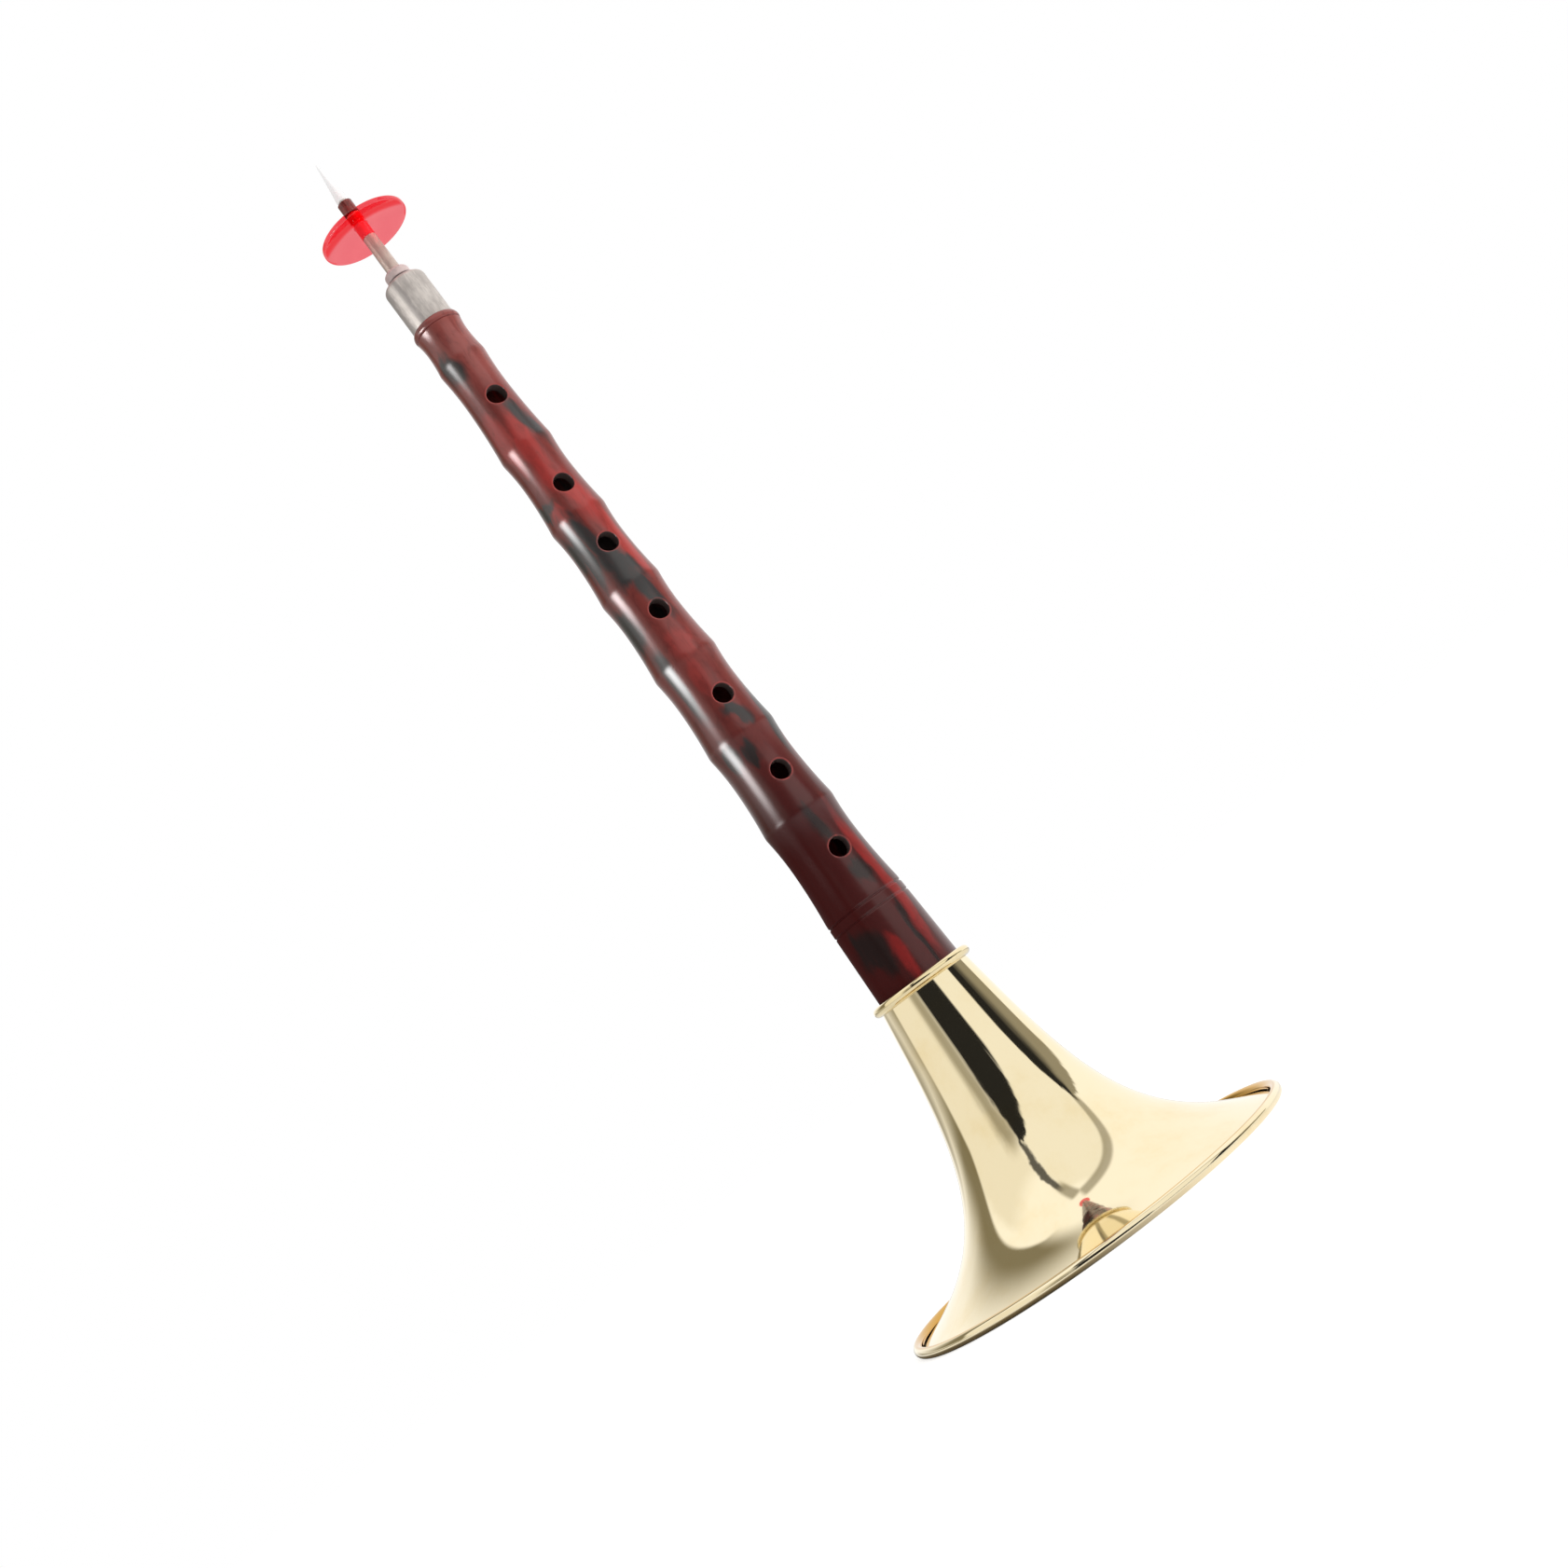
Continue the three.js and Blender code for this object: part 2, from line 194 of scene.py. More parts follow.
class Graph:
    """Adds nodes to one node tree.

    A value is a socket, a number, a vector or a colour, also as six hexadecimal digits.
    """

    def __init__(self, tree):
        self.tree = tree
        tree.nodes.clear()

    def node(self, kind, inputs=None, **settings):
        """A new shader node with its inputs, by name or number, and its settings."""
        made = self.tree.nodes.new("ShaderNode" + kind)
        for key, value in settings.items():
            setattr(made, key, value)
        self.fill(made, inputs or {})
        return made

    def fill(self, node, inputs):
        for key, value in inputs.items():
            self.put(node.inputs[key], value)

    def put(self, socket, value):
        """Links a socket to an input, or sets the input's own value."""
        if isinstance(value, bpy.types.NodeSocket):
            self.tree.links.new(value, socket)
        else:
            socket.default_value = colour(value) if isinstance(value, str) else value

    def put_all(self, sockets, values):
        for socket, value in zip(sockets, values):
            self.put(socket, value)

    def math(self, operation, *values):
        made = self.node("Math", operation=operation)
        self.put_all(made.inputs, values)
        return made.outputs[0]

    def fold(self, operation, values):
        """Takes an operation through all the values in turn."""
        made = values[0]
        for value in values[1:]:
            made = self.math(operation, made, value)
        return made

    def plus(self, *values):
        return self.fold("ADD", values)

    def minus(self, value, less):
        return self.math("SUBTRACT", value, less)

    def times(self, *values):
        return self.fold("MULTIPLY", values)

    def most(self, *values):
        return self.fold("MAXIMUM", values)

    def line(self, value, low, high, first, last, **settings):
        """Goes evenly from first to last as value goes from low to high."""
        made = self.node("MapRange", **settings)
        self.put_all(made.inputs, (value, low, high, first, last))
        return made.outputs[0]

    def ramp(self, value, low, high, first=0.0, last=1.0):
        """Goes smoothly from first to last as value goes from low to high."""
        return self.line(value, low, high, first, last, interpolation_type="SMOOTHSTEP")

    def mix(self, factor, a, b):
        """A colour between a and b, on the node's colour sockets."""
        made = self.node("Mix", data_type="RGBA")
        self.put_all([made.inputs[i] for i in (0, 6, 7)], (factor, a, b))
        return made.outputs[2]

    def mix_shaders(self, factor, a, b):
        return self.node("MixShader", {0: factor, 1: a, 2: b}).outputs[0]

    def vector(self, operation, *values, output=0):
        made = self.node("VectorMath", operation=operation)
        self.put_all(made.inputs, values)
        return made.outputs[output]

    def measure(self, operation, *values):
        """A length, a distance or a dot product: the node's second output."""
        return self.vector(operation, *values, output=1)

    def scaled(self, vector, x, y, z):
        return self.vector("MULTIPLY", vector, (x, y, z))

    def parts(self, vector):
        return self.node("SeparateXYZ", {0: vector}).outputs

    def joined(self, x, y, z):
        return self.node("CombineXYZ", {0: x, 1: y, 2: z}).outputs[0]

    def noise(self, vector, scale, detail=3.0, roughness=0.5, distortion=0.0):
        inputs = {
            "Vector": vector, "Scale": scale, "Detail": detail,
            "Roughness": roughness, "Distortion": distortion,
        }
        return self.node("TexNoise", inputs).outputs[0]

    def bump(self, height, distance, strength=1.0, under=None):
        """A bump, on top of the one under it where that is given."""
        inputs = {"Height": height, "Distance": distance, "Strength": strength}
        if under is not None:
            inputs["Normal"] = under
        return self.node("Bump", inputs).outputs[0]


def colour(text):
    """A linear colour from six hexadecimal digits."""
    parts = [int(text[i:i + 2], 16) / 255 for i in (0, 2, 4)]
    linear = [c / 12.92 if c <= 0.04045 else ((c + 0.055) / 1.055) ** 2.4 for c in parts]
    return (*linear, 1.0)


def object_place(g):
    """Object coordinates, in millimetres."""
    place = g.node("TexCoord").outputs["Object"]
    return g.scaled(place, 1 / MM, 1 / MM, 1 / MM)


def material(name):
    """A new material: its graph, its shader and its object coordinates in millimetres."""
    made = bpy.data.materials.new(name)
    made.use_nodes = True
    g = Graph(made.node_tree)
    shader = g.node("BsdfPrincipled")
    g.node("OutputMaterial", {"Surface": shader.outputs[0]})
    return made, g, shader, object_place(g)


def turn_of(g, place):
    """Degrees round the axis: 0 at the finger holes, positive towards +X."""
    x, y, _ = g.parts(place)
    return g.times(g.math("ARCTAN2", x, g.times(y, -1.0)), DEGREES)


def from_axis(g, place):
    return g.measure("LENGTH", g.scaled(place, 1, 1, 0))


def backfacing(g):
    return g.node("NewGeometry").outputs["Backfacing"]


# Brass


def polished_brass(name, tone="fbedca", deep="f2dba6"):
    """Bright brass with faint spinning marks, soft waves, faint deeper patches and painted shade in the
    crease by the rim.
    """
    made, g, shader, place = material(name)
    z = g.parts(place)[2]
    radius = from_axis(g, place)
    along = g.minus(radius, z)
    spin = g.joined(g.times(along, 2.2), 0.0, g.times(turn_of(g, place), 0.004))
    marks = g.noise(spin, 1.6, detail=4)
    haze = g.noise(place, 0.05, detail=5, roughness=0.6)
    waves = g.noise(place, 0.035, detail=1.0)
    brass = g.mix(g.ramp(haze, 0.45, 0.85, 0, 0.7), tone, deep)

    # The crease between the rolled rim and the sheet gets a deeper colour: painted shade
    crease = (57.4, 2.6, 0)
    from_crease = g.measure("DISTANCE", g.joined(radius, z, 0.0), crease)
    painted_crease_shade = g.ramp(from_crease, 1.9, 1.3, 0, 0.95)
    g.fill(shader, {
        "Base Color": g.mix(painted_crease_shade, brass, "d4a142"),
        "Metallic": 1.0,
        "Roughness": g.plus(g.ramp(haze, 0.4, 0.8, 0.03, 0.055), g.times(marks, 0.03)),
        "Normal": g.bump(waves, 0.00022, under=g.bump(marks, 0.0000008)),
    })
    return made


# Resin

# Patches of the marbling on the side that the photo shows: bearing in degrees, height, half width
# along the arc, half height and lean in degrees
GREY_PATCHES = [
    (-52, 292, 5.0, 6.5, 0), (16, 271, 2.2, 12, 12), (-75, 245, 6.0, 2.6, -8), (-78, 227, 3.6, 9, 0),
    (-29, 231, 3.2, 9, 6), (-22, 223, 4.4, 7, 25), (-10, 217, 4.6, 7, 40), (4, 208, 3.0, 9, 15),
    (-74, 203, 5.2, 10, 0), (-56, 226, 2.6, 13, 0), (-56, 180, 2.6, 13, 0), (-54, 156, 2.4, 6, 0),
    (-2, 167, 2.6, 4.5, 35), (-24, 156, 2.4, 4.5, 0), (-8, 127, 2.2, 6, 10), (4, 111, 2.6, 5, -10),
    (-50, 92, 4.4, 8, 0), (14, 90, 0.8, 12, 0), (50, 160, 3.2, 14, -5),
]
RED_PATCHES = [
    (-18, 262, 4.6, 17, -8), (6, 245, 4.4, 15, 8), (-55, 268, 4.0, 10, 0), (28, 108, 1.9, 26, 0),
    (-20, 88, 2.2, 9, 0), (24, 226, 2.8, 12, 0), (-48, 240, 3.0, 2.6, 0),
]
FAINT_RED_PATCHES = [(-6, 192, 4.4, 4.5, 20), (-16, 182, 2.2, 8, 0)]
ARC_PER_DEGREE = 0.17


def unrolled(g, grain, turn, z):
    """The pipe's side as a flat sheet of arc length by height, its lines made to wander."""
    drift = g.noise(grain, 0.11, detail=3, roughness=0.55)
    drift_up = g.noise(g.vector("ADD", grain, (40, 7, 19)), 0.16, detail=3, roughness=0.55)
    arc_place = g.plus(g.times(turn, ARC_PER_DEGREE), g.line(drift, 0, 1, -3.2, 3.2))
    return g.joined(arc_place, g.plus(z, g.line(drift_up, 0, 1, -11.0, 11.0)), 0.0)


def patches(g, sheet, rows):
    """1 inside any of the ellipses in rows, 0 outside them."""
    found = []
    for degrees, height, half_arc, half_height, lean in rows:
        spot = g.node("Mapping", {
            "Vector": sheet,
            "Location": (degrees * ARC_PER_DEGREE, height, 0),
            "Rotation": (0, 0, math.radians(lean)),
            "Scale": (half_arc, half_height, 1),
        }, vector_type="TEXTURE").outputs[0]
        found.append(g.ramp(g.measure("LENGTH", spot), 0.55, 1.2, 1.0, 0.0))
    return g.most(*found)


def marbling(g, place, grain):
    """How grey and how red each place is: set patches in front, free veins behind."""
    turn = turn_of(g, place)
    z = g.parts(place)[2]
    sheet = unrolled(g, grain, turn, z)
    faint = g.times(patches(g, sheet, FAINT_RED_PATCHES), 0.45)
    red = g.most(patches(g, sheet, RED_PATCHES), faint)
    middle = -22
    behind = g.ramp(g.math("ABSOLUTE", g.minus(turn, middle)), 78, 96)
    veins = g.noise(g.vector("ADD", grain, (3, 60, 0)), 0.17, detail=3, roughness=0.5, distortion=0.5)
    grey = g.most(patches(g, sheet, GREY_PATCHES), g.times(behind, g.ramp(veins, 0.53, 0.66)))
    return grey, g.most(red, g.times(behind, g.ramp(veins, 0.46, 0.34)))


def resin_colour(g, z, wisp, grey, red):
    """Maroon at the foot (partly painted shade), rosy red above and paler at the top (partly a painted
    sheen), with the marbling over it.
    """
    # Partly the resin's own colour and partly painted shade: every colour darkens towards the foot
    above_painted_shade = g.ramp(z, 128, 190)
    ground = g.mix(above_painted_shade, "4a1716", "7d342f")
    # Partly the resin's own tone and partly a painted sheen: paler towards the top
    ground = g.mix(g.ramp(z, 276, 292), ground, "8f453f")
    ground = g.mix(g.ramp(wisp, 0.4, 0.75, 0, 0.45), ground, "4a1c1b")
    bright = g.mix(above_painted_shade, "8a1f1d", "a83631")
    blended = g.mix(g.times(red, g.ramp(wisp, 0.75, 0.4, 0.55, 1.0)), ground, bright)
    charcoal = g.mix(above_painted_shade, "2a1d1c", "363636")
    return g.mix(g.times(grey, g.ramp(wisp, 0.8, 0.45, 0.8, 0.98)), blended, charcoal)


def with_holes(g, place, wisp, blended):
    """The colour with a painted highlight on the red edge of each hole, and painted light that keeps the
    holes' insides and the bore from rendering dark.
    """
    _, y, z = g.parts(place)
    flat = g.scaled(place, 1, 0, 1)
    painted_inside_light = "5e504d"
    away = []
    for height, facing in HOLES:
        other_side = g.ramp(g.times(y, math.copysign(1, facing)), 0.5, -0.5, 0, 9)
        away.append(g.plus(g.measure("DISTANCE", flat, (0, 0, height)), other_side))
    nearest = g.fold("MINIMUM", away)
    # Painted highlight: a paler red ring round each hole, where the eased edge catches the light
    edge = g.times(g.ramp(nearest, 3.6, 3.1), g.ramp(wisp, 0.3, 0.65, 0.05, 0.65))
    blended = g.mix(edge, blended, "b8433c")
    # Painted light: the insides of the holes and the bore get a lighter greyish brown so that they don't
    # render dark
    blended = g.mix(g.ramp(nearest, 3.06, HOLE_RADIUS), blended, painted_inside_light)
    bore = g.ramp(from_axis(g, place), 6.0, 5.2)
    below_socket = g.ramp(z, 262, 240)
    return g.mix(g.times(bore, below_socket), blended, painted_inside_light)


def worn_coat(g, place):
    """The gloss's weight: little on the left and the back of the foot, where hands have dulled it."""
    turn = turn_of(g, place)
    z = g.parts(place)[2]
    left = g.times(g.ramp(turn, -22, -42), g.math("LESS_THAN", turn, 0.0))
    back = g.times(g.ramp(turn, 140, 178), g.math("GREATER_THAN", turn, 0.0))
    worn = g.times(g.most(left, back), g.ramp(z, 146, 124))
    return g.line(worn, 0, 1, 1.0, 0.1)


def marbled_resin():
    """Satin resin, rosy red above and maroon below (partly painted shade), with grey flames along the
    grain.
    """
    made, g, shader, place = material("marbled_resin")
    z = g.parts(place)[2]
    grain = g.scaled(place, 1, 1, 0.35)
    wisp = g.noise(grain, 0.5, detail=4, roughness=0.6, distortion=0.8)
    grey, red = marbling(g, place, grain)
    blended = resin_colour(g, z, wisp, grey, red)
    scuff = g.noise(g.scaled(place, 1, 1, 0.12), 3.0, detail=4, roughness=0.6)
    ripple = g.noise(g.scaled(place, 1, 1, 0.2), 0.6, detail=2)
    g.fill(shader, {
        "Base Color": with_holes(g, place, wisp, blended),
        "Roughness": g.line(scuff, 0.3, 0.7, 0.19, 0.3),
        "Specular IOR Level": 0.0,
        "Coat Weight": worn_coat(g, place),
        "Coat Roughness": 0.25,
        "Coat IOR": 1.56,
        "Normal": g.bump(ripple, 0.00007, 0.7, under=g.bump(scuff, 0.000006, 0.6)),
    })
    return made


# Other metals


def drawn_metal(name, tone, dark, streak, rough, metallic, painted_reflection_strength):
    """Satin metal with blotches, fine streaks along the axis and a painted dark reflection down one side.
    """
    made, g, shader, place = material(name)
    blotch = g.noise(g.scaled(place, 1, 1, 0.45), 0.32, detail=4, roughness=0.6)
    lines = g.noise(g.scaled(place, 1, 1, streak), 2.6, detail=4, roughness=0.65)
    shade = g.plus(g.times(blotch, 0.65), g.times(lines, 0.35))
    worn = g.mix(g.ramp(shade, 0.36, 0.66), dark, tone)
    # Painted reflection: a dark band near a bearing of -41 degrees and the side beyond -66 degrees, as if
    # dark surroundings were reflected
    turn = g.plus(turn_of(g, place), g.line(blotch, 0.3, 0.7, -6, 6))
    middle = -41
    band = g.ramp(g.math("ABSOLUTE", g.minus(turn, middle)), 11, 3)
    side = g.ramp(turn, -66, -84)
    painted_dark_reflection = g.times(g.most(band, side), painted_reflection_strength)
    g.fill(shader, {
        "Base Color": g.mix(painted_dark_reflection, worn, "8d8683"),
        "Metallic": metallic,
        "Roughness": g.line(shade, 0.3, 0.7, rough + 0.08, rough - 0.08),
        "Normal": g.bump(lines, 0.000004, 0.7),
    })
    return made


def iron_wire():
    """Grey iron with patches of rust."""
    made, g, shader, place = material("iron_wire")
    rust = g.noise(place, 0.4, detail=5, roughness=0.65)
    g.fill(shader, {
        "Base Color": g.mix(g.ramp(rust, 0.45, 0.65), "8f8b84", "6b4b3a"),
        "Metallic": g.ramp(rust, 0.45, 0.65, 1.0, 0.4),
        "Roughness": g.ramp(rust, 0.4, 0.7, 0.35, 0.75),
        "Normal": g.bump(rust, 0.00004, 0.6),
    })
    return made


# Thread and plastics


def waxed_thread():
    """Cream cotton with its own fine twist."""
    made, g, shader, place = material("waxed_thread")
    z = g.parts(place)[2]
    twist = g.plus(g.times(turn_of(g, place), 0.8), g.times(z, 9.0))
    strand = g.math("SINE", twist)
    fuzz = g.noise(place, 2.5, detail=5, roughness=0.7)
    shade = g.plus(g.times(strand, 0.18), fuzz)
    g.fill(shader, {
        "Base Color": g.mix(g.ramp(shade, 0.3, 0.75), "bda884", "e9dfc8"),
        "Roughness": g.ramp(fuzz, 0.3, 0.7, 0.75, 0.95),
        "Normal": g.bump(shade, 0.00006, 0.8),
    })
    return made


def moulded_plastic():
    """Matte pale pinkish grey with patches of grime and a painted contact shadow as a dark line at the
    collar's foot.
    """
    made, g, shader, place = material("moulded_plastic")
    grime = g.noise(place, 0.55, detail=5, roughness=0.65)
    grain = g.noise(place, 6.0, detail=3, roughness=0.6)
    z = g.parts(place)[2]
    plastic = g.mix(g.ramp(grime, 0.45, 0.75), "d3c1bd", "bba8a4")
    # Painted shadow: a dark line at the collar's foot, where it meets the cap
    above = g.ramp(z, BUSH_SEAT + 1.2, BUSH_SEAT + 0.9, 0, 0.85)
    painted_contact_shadow = g.times(above, g.ramp(z, BUSH_SEAT - 0.1, BUSH_SEAT))
    g.fill(shader, {
        "Base Color": g.mix(painted_contact_shadow, plastic, "54423f"),
        "Roughness": g.ramp(grime, 0.3, 0.7, 0.45, 0.62),
        "Subsurface Weight": 0.1,
        "Subsurface Radius": (1.0, 0.7, 0.6),
        "Subsurface Scale": 0.0012,
        "Normal": g.bump(grain, 0.00001, 0.4),
    })
    return made


def clear_red():
    """Clear red plastic that looks deeper where it is seen at a low angle, with handling marks."""
    made, g, shader, place = material("clear_red")
    marks = g.noise(place, 0.9, detail=5, roughness=0.6)
    flow = g.noise(place, 0.16, detail=2)
    radius = from_axis(g, place)
    hub = g.ramp(radius, 2.5, 2.2)
    inside = backfacing(g)
    facing = g.node("LayerWeight", {"Blend": 0.5}).outputs["Facing"]
    facing = g.plus(facing, g.line(inside, 0, 1, 0, 0.04))
    thin = g.mix(g.ramp(flow, 0.3, 0.7), "f3747b", "ee6d75")
    red = g.mix(g.most(g.ramp(facing, 0.57, 0.63), hub), thin, "f0202b")
    off_bore = g.times(inside, g.ramp(radius, 1.9, 1.95))
    at_rim = g.ramp(radius, 13.2, 13.5, 0.4, 1.0)
    g.fill(shader, {
        "Base Color": g.mix(hub, red, "ff4450"),
        "Roughness": g.ramp(marks, 0.45, 0.75, 0.0, 0.02),
        "Transmission Weight": g.most(g.line(hub, 0, 1, 1.0, 0.3), off_bore),
        "IOR": 1.0,
        "Coat Weight": g.times(g.line(inside, 0, 1, 1, 0), at_rim),
        "Coat Roughness": 0.06,
        "Coat IOR": 1.5,
        "Coat Normal": g.bump(flow, 0.0001, 0.35),
    })
    return made


def dark_sleeve():
    """Glossy red brown tubing with lengthwise draw lines."""
    made, g, shader, place = material("dark_sleeve")
    lines = g.noise(g.scaled(place, 1, 1, 0.08), 2.4, detail=4, roughness=0.6)
    cloud = g.noise(place, 0.6, detail=3)
    shade = g.plus(g.times(lines, 0.6), g.times(cloud, 0.4))
    g.fill(shader, {
        "Base Color": g.mix(g.ramp(shade, 0.35, 0.65), "5a201d", "8c3a36"),
        "Roughness": g.ramp(cloud, 0.3, 0.7, 0.12, 0.26),
        "Normal": g.bump(lines, 0.00002, 0.5),
    })
    return made


def outer_face(g, place):
    """1 on faces that are seen from outside and turn away from the axis, 0 on all others."""
    normal = g.node("TexCoord").outputs["Normal"]
    outward = g.measure("DOT_PRODUCT", normal, g.scaled(place, 1, 1, 0))
    return g.times(g.ramp(outward, -0.01, 0.01), g.line(backfacing(g), 0, 1, 1, 0))


def pale_reed():
    """Near white translucent blade with fine lengthwise fibres."""
    made, g, shader, place = material("pale_reed")
    z = g.parts(place)[2]
    fibre = g.noise(g.scaled(place, 1, 1, 0.04), 3.2, detail=5, roughness=0.65)
    cloud = g.noise(place, 0.35, detail=3)
    shade = g.plus(g.times(fibre, 0.7), g.times(cloud, 0.3))
    g.fill(shader, {
        "Base Color": g.mix(g.ramp(shade, 0.35, 0.65), "f4f1ec", "fefdfc"),
        "Roughness": g.ramp(fibre, 0.3, 0.7, 0.3, 0.5),
        "Alpha": g.times(outer_face(g, place), g.ramp(z, 353, 370, 0.55, 0.28)),
        "Specular IOR Level": 0.2,
        "Normal": g.bump(fibre, 0.00001, 0.1),
    })
    return made


# Bell


def flare_curve(throat, rim, top_lean, rim_slope, height):
    """The sheet's outer line from the throat down to the rim, leaning as given at each end."""
    throat_pull, rim_pull, points = 0.498, 0.87, 91
    first = throat + throat_pull * height * np.array([math.sin(top_lean), -math.cos(top_lean)])
    second = rim + rim_pull * (rim[0] - throat[0]) * np.array([-math.cos(rim_slope), math.sin(rim_slope)])
    t = np.linspace(0, 1, points)[:, None]
    return (1 - t) ** 3 * throat + 3 * (1 - t) ** 2 * t * first + 3 * (1 - t) * t**2 * second + t**3 * rim


def bell_outline():
    """The sheet as one closed outline: down inside, round the rolled rim, up outside."""
    sheet, roll, land = 0.5, 1.5, 0.8
    throat_radius, top_lean, rim_slope = 13.95, 8.7, 18.3
    roll_start = 185
    low, top = heights("bell_flare")
    centre = np.array([radius_of("bell_flare") - roll, low + math.sqrt(roll**2 - (land / 2) ** 2)])
    slope = math.radians(rim_slope)
    rim_angle = -math.pi / 2 - slope
    rim = centre + (roll - sheet) * np.array([math.cos(rim_angle), math.sin(rim_angle)])
    throat = np.array([throat_radius, top])
    outer = flare_curve(throat, rim, math.radians(top_lean), slope, top - low)
    way = np.gradient(outer, axis=0)
    way /= np.linalg.norm(way, axis=1)[:, None]
    inner = outer + sheet * np.stack([way[:, 1], -way[:, 0]], axis=1)
    half_land = math.degrees(math.asin(land / 2 / roll))
    roll_out = [(centre[0] - land / 2, low)] + arc(centre, roll, half_land - 90, roll_start, 30)
    roll_in = arc(centre, roll - sheet, roll_start, -90 - rim_slope, 26)
    return [tuple(p) for p in inner] + roll_out + roll_in[:-1] + [tuple(p) for p in outer[::-1]]


def make_bell():
    """The spun sheet, whose edge is rolled back round the wire."""
    shell = Shell()
    shell.turn(bell_outline(), 288)
    shell.piece("bell_sheet", polished_brass("bell_brass"), "bell", "bell_brass", "bell_flare")


def make_rim_wire():
    """The wire inside the rolled edge."""
    low, high = heights("rim_wire")
    wire = 0.9
    centre = (radius_of("rim_wire") - wire, (low + high) / 2)
    shell = Shell()
    shell.turn(arc(centre, min((high - low) / 2, wire), 0, 360, 16)[:-1], 192)
    shell.piece("rim_core", iron_wire(), "bell", "rim_wire", "rim_wire")


def make_throat_ring():
    """A turned socket with a round bead and a low lip above it."""
    low, high = heights("throat_ring")
    bore, wall, mouth = 12.45, 13.35, 13.1
    under_bead, over_bead = 77.35, 79.05
    skirt = eased([(bore, low, 0.15), (wall, low, 0.2), (wall, under_bead)])
    bead = arc((14.45, 78.7), 1.35, -90, 135, 28)
    lip = eased([(mouth, high, 0.15), (mouth, over_bead), (bore, over_bead, 0.1)], closed=False)
    shell = Shell()
    shell.turn(skirt + bead + lip, 240)
    ring = polished_brass("ring_brass", tone="f5e4b8", deep="d8b676")
    shell.piece("throat_collar", ring, "bell", "ring_brass", "throat_ring")


# Pipe


def pipe_profile():
    """Heights and radii of the pipe's outside, its crests softened, then its fine grooves cut."""
    step = 0.05
    end = PIPE_END - COLLAR_RISE
    z = np.arange(SHOULDER, end + step, step)
    lowest_crest, highest_crest = 11.9, 7.57
    crests = np.interp(RIDGES, [RIDGES[0], RIDGES[-1]], [lowest_crest, highest_crest])
    knots_z = [*RIDGES, end]
    r = np.interp(z, [SHOULDER, *knots_z], [SHOULDER_RADIUS, *crests, COLLAR_RADIUS])
    below_waist, above_waist = 0.59, 0.41
    waist_depth, last_depth = 0.86, 0.64
    for i in range(len(knots_z) - 1):
        share = (z - knots_z[i]) / (knots_z[i + 1] - knots_z[i])
        inside = (share > 0) & (share < 1)
        off = 1 - np.minimum(share / below_waist, (1 - share) / above_waist)
        depth = waist_depth if i < len(RIDGES) - 1 else last_depth
        r = r - np.where(inside, depth * (1 - off**2), 0)
    reach, softness = 60, 0.55
    kernel = np.exp(-0.5 * (np.arange(-reach, reach + 1) * step / softness) ** 2)
    padded = np.pad(r, reach, mode="reflect", reflect_type="odd")
    r = np.convolve(padded, kernel / kernel.sum(), mode="valid")
    for middle, width, depth in GROOVES:
        near = np.clip(1 - np.abs(z - middle) / (width / 2), 0, 1)
        r = r - depth * near * near * (3 - 2 * near)
    return z, r


def bore_radius(z):
    """Radius of the conical bore at a height."""
    return np.interp(z, [BORE_FOOT, BORE_TOP], [BORE_FOOT_RADIUS, BORE_TOP_RADIUS])


def drilled(shell, levels, radius_at, half_arcs, sides, inward):
    """A turned wall with a window left at each hole; gives each window's loop of points."""
    radii = radius_at(np.array(levels))
    rows = [shell.row(circle(r, z, sides)) for z, r in zip(levels, radii)]

    def level_at(wanted):
        return min(range(len(levels)), key=lambda i: abs(levels[i] - wanted))

    gone, loops = set(), []
    for (height, facing), half_arc in zip(HOLES, half_arcs):
        low, high = level_at(height - HALF_WINDOW), level_at(height + HALF_WINDOW)
        narrow = min(radii[low], radii[high])
        reach = math.ceil(math.asin(min(0.97, half_arc / narrow)) / math.tau * sides)
        middle = round(facing / 360 * sides)
        columns = list(range(middle - reach, middle + reach + 1))
        gone |= {(i, j % sides) for i in range(low, high) for j in columns[:-1]}
        edge = [(low, j) for j in columns] + [(i, columns[-1]) for i in range(low + 1, high + 1)]
        edge += [(high, j) for j in columns[-2::-1]] + [(i, columns[0]) for i in range(high - 1, low, -1)]
        loops.append([rows[i][j % sides] for i, j in edge])
    for i in range(len(rows) - 1):
        for j in range(sides):
            if (i, j) not in gone:
                k = (j + 1) % sides
                shell.face((rows[i][j], rows[i][k], rows[i + 1][k], rows[i + 1][j]), inward)
    return loops


def hole_ring(shell, hole, offsets, radius_at, depth=0.0):
    """Points on a wall, by their offsets across and up from the hole's axis, sunk by depth."""
    height, facing = hole
    a = math.radians(facing)
    outward, aside = np.array([math.cos(a), math.sin(a)]), np.array([-math.sin(a), math.cos(a)])
    ring = []
    for u, v in offsets:
        z = height + v
        out = math.sqrt(max(float(radius_at(z)) ** 2 - u * u, 0.01)) - depth
        x, y = outward * out + aside * u
        ring.append((x, y, z))
    return shell.row(ring)


def loop_offsets(shell, hole, loop):
    """Offsets across and up of a window's points from the hole's axis, and their directions."""
    height, facing = hole
    a = math.radians(facing)
    offsets = []
    for i in loop:
        x, y, z = shell.points[i]
        offsets.append((x * -math.sin(a) + y * math.cos(a), z - height))
    return offsets, [math.atan2(v, u) for u, v in offsets]


def round_offsets(spokes, radius):
    """Offsets on a circle, in the spokes' directions."""
    return [(radius * math.cos(a), radius * math.sin(a)) for a in spokes]


def partway(start, end, share):
    """Offsets that lie a share of the way from start to end."""
    return np.array(start) * (1 - share) + np.array(end) * share


